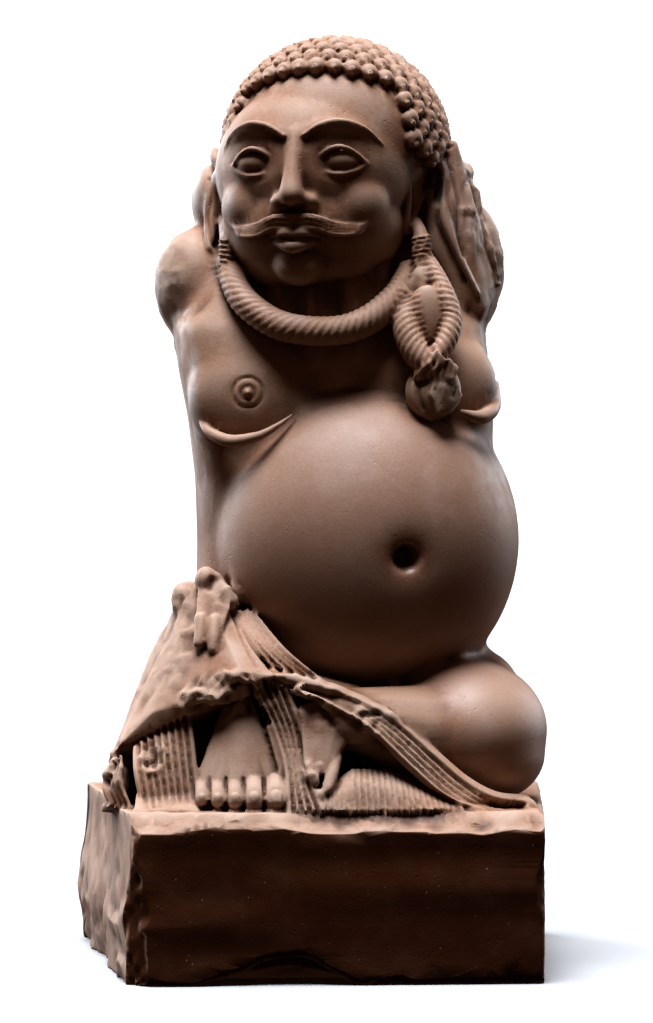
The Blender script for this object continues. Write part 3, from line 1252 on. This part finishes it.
def sandstone():
    """Mottled red sandstone: grain, cream specks, dirt, pale ridges and breaks, a dark stain and bloom."""
    nodes = Nodes("red_sandstone")
    where = nodes.add("ShaderNodeTexCoord").outputs["Object"]
    broad = nodes.noise(where, BROAD_PATCHES, 5)
    middling = nodes.noise(where, MIDDLING_PATCHES, 6, 0.6)
    grain = nodes.noise(where, GRAIN, 3, 0.6)
    colour = nodes.mix(nodes.range(broad, 0.35, 0.68), MIDDLE_STONE, DARK_STONE)
    colour = nodes.mix(nodes.range(middling, 0.5, 0.78, 0, 0.75), colour, PALE_STONE)
    polish = nodes.mark("polish")
    colour = nodes.mix(nodes.part_of(polish, 0.75), colour, POLISHED_STONE)
    broken = nodes.mark("broken")
    colour = nodes.mix(nodes.part_of(broken, 0.75), colour, FRESH_STONE)
    soil = nodes.range(nodes.noise(where, SOIL_PATCHES, 6, 0.65), 0.5, 0.66, 0, 0.6)
    colour = nodes.mix(nodes.part_of(soil, broken), colour, DARK_STONE)
    colour = nodes.mix(nodes.range(grain, 0.35, 0.75, 0, 0.28), colour, PALE_STONE)
    ridge = nodes.part_of(nodes.mark("ridge"), 0.55)
    colour = nodes.mix(ridge, colour, PALE_STONE)
    stain = nodes.part_of(nodes.mark("stain"), nodes.range(middling, 0.3, 0.62, 0.99, 0.92))
    colour = nodes.mix(stain, colour, STAINED_STONE)
    cells = nodes.add("ShaderNodeTexVoronoi", {"Vector": where, "Scale": SPECKS, "Randomness": 1})
    spots = nodes.range(cells.outputs["Distance"], 0.16, 0.06)
    rarity = nodes.range(nodes.noise(where, SPECK_PATCHES, 2), 0.54, 0.66)
    specks = nodes.part_of(spots, rarity)
    colour = nodes.mix(nodes.part_of(specks, 0.5), colour, SPECK)
    hollow = nodes.part_of(nodes.mark("hollow"), 0.82)
    colour = nodes.mix(hollow, colour, GRIME)
    bloom = nodes.part_of(nodes.mark("bloom"), 0.9)
    colour = nodes.mix(bloom, colour, WHITE_BLOOM)
    nodes.tree.links.new(colour, nodes.shader.inputs["Base Color"])
    rough = nodes.range(middling, 0.3, 0.7, 0.55, 0.70)
    rough = nodes.math("SUBTRACT", rough, nodes.part_of(polish, 0.17))
    shine = nodes.math("ADD", 0.4, nodes.part_of(polish, 0.45))
    shine = nodes.math("SUBTRACT", shine, nodes.part_of(stain, 0.36), clamp=True)
    nodes.tree.links.new(shine, nodes.shader.inputs["Specular IOR Level"])
    rough = nodes.math("ADD", rough, nodes.part_of(broken, 0.2), clamp=True)
    nodes.tree.links.new(rough, nodes.shader.inputs["Roughness"])
    pits = nodes.range(cells.outputs["Distance"], 0.22, 0.0)
    pits = nodes.part_of(pits, nodes.range(nodes.noise(where, PIT_PATCHES, 2), 0.5, 0.65))
    calm = nodes.math("SUBTRACT", 1.0, nodes.part_of(polish, 0.6))
    height = nodes.math("ADD", nodes.part_of(grain, 0.3), nodes.part_of(middling, 0.9))
    height = nodes.math("SUBTRACT", height, nodes.part_of(pits, 0.8))
    strength = nodes.part_of(calm, 0.5)
    bump = nodes.add("ShaderNodeBump", {"Height": height, "Strength": strength, "Distance": BUMP_HEIGHT})
    nodes.tree.links.new(bump.outputs["Normal"], nodes.shader.inputs["Normal"])
    return nodes.material


def make_statue():
    mesh = carving_mesh()
    points, normals = read_points(mesh, FIGURE)
    broken_stone(points, normals)
    curl_spirals(points, normals)
    for rope, spacing, slant, depth in ROPES:
        hatch(points, normals, rope, spacing, slant, depth)
    fine_lines(points, normals)
    navel(points)
    write_points(mesh, points, FIGURE)
    points, normals = read_points(mesh, LEVEL)
    weather_block(points)
    write_points(mesh, points, LEVEL)

    rough = bpy.data.objects.new("rough_statue", mesh)
    bpy.context.scene.collection.objects.link(rough)
    mesh.calc_loop_triangles()
    thin = rough.modifiers.new("Thin", "DECIMATE")
    thin.ratio = min(1.0, MOST_TRIANGLES / len(mesh.loop_triangles))
    fine = evaluated_mesh(rough)
    bpy.data.objects.remove(rough)
    bpy.data.meshes.remove(mesh)
    fine.shade_smooth()
    fine.set_sharp_from_angle(angle=SHARPEST_CURVE)
    mark_surface(fine)
    fine.materials.append(sandstone())
    statue = bpy.data.objects.new("sandstone_kubera", fine)
    bpy.context.scene.collection.objects.link(statue)
    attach(statue, "root")
    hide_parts("kubera_statue")


def plain_material(name, colour, roughness):
    nodes = Nodes(name)
    nodes.shader.inputs["Base Color"].default_value = (*colour, 1)
    nodes.shader.inputs["Roughness"].default_value = roughness
    return nodes.material


def make_floor():
    """A wide pale floor that throws no light back onto the stone."""
    made = bmesh.new()
    bmesh.ops.create_grid(made, x_segments=1, y_segments=1, size=FLOOR_REACH)
    mesh = bpy.data.meshes.new("floor")
    made.to_mesh(mesh)
    made.free()
    mesh.materials.append(plain_material("floor", FLOOR_COLOUR, FLOOR_ROUGHNESS))
    floor = bpy.data.objects.new("floor", mesh)
    floor.visible_diffuse = False
    floor.visible_glossy = False
    bpy.context.scene.collection.objects.link(floor)


def soft_sun(name, direction, strength, spread):
    """Even light from a broad patch of sky in the given direction."""
    data = bpy.data.lights.new(name, "SUN")
    data.color = SUN_COLOUR
    data.energy = strength
    data.angle = math.radians(spread)
    light = bpy.data.objects.new(name, data)
    light.rotation_euler = Vector(direction).to_track_quat("Z", "Y").to_euler()
    bpy.context.scene.collection.objects.link(light)


def make_lights():
    """Three cool suns, the strongest high in front, warm weak light in the shadows, and a white backdrop."""
    for name, direction, strength, spread in SUNS:
        soft_sun(name, direction, strength, spread)
    world = bpy.data.worlds.new("room")
    world.use_nodes = True
    tree = world.node_tree
    light_path = tree.nodes.new("ShaderNodeLightPath")
    strength = tree.nodes.new("ShaderNodeMapRange")
    strength.inputs["To Min"].default_value = SHADOW_LIGHT
    strength.inputs["To Max"].default_value = BACKDROP_LIGHT
    tree.links.new(light_path.outputs["Is Camera Ray"], strength.inputs["Value"])
    tree.links.new(strength.outputs["Result"], tree.nodes["Background"].inputs["Strength"])
    colour = tree.nodes.new("ShaderNodeMix")
    colour.data_type = "RGBA"
    colour.inputs[6].default_value = SHADOW_COLOUR
    colour.inputs[7].default_value = BACKDROP_COLOUR
    tree.links.new(light_path.outputs["Is Camera Ray"], colour.inputs["Factor"])
    tree.links.new(colour.outputs[2], tree.nodes["Background"].inputs["Color"])
    bpy.context.scene.world = world
    bpy.context.scene.view_settings.view_transform = "Standard"
    bpy.context.scene.view_settings.look = "High Contrast"


def make_camera():
    """The photograph's viewing angle: level, from a little to the left."""
    data = bpy.data.cameras.new("camera")
    data.sensor_fit = "VERTICAL"
    data.sensor_height = SENSOR
    data.lens = FOCAL_PX / PHOTO_HEIGHT_PX * SENSOR
    camera = bpy.data.objects.new("camera", data)
    camera.location = (
        FIGURE_OFFSET + CAMERA_DISTANCE * math.sin(CAMERA_TURN),
        -CAMERA_DISTANCE * math.cos(CAMERA_TURN),
        CAMERA_HEIGHT,
    )
    camera.rotation_euler = (math.pi / 2, 0, CAMERA_TURN)
    bpy.context.scene.collection.objects.link(camera)
    bpy.context.scene.camera = camera


make_camera()
make_floor()
make_lights()
make_statue()
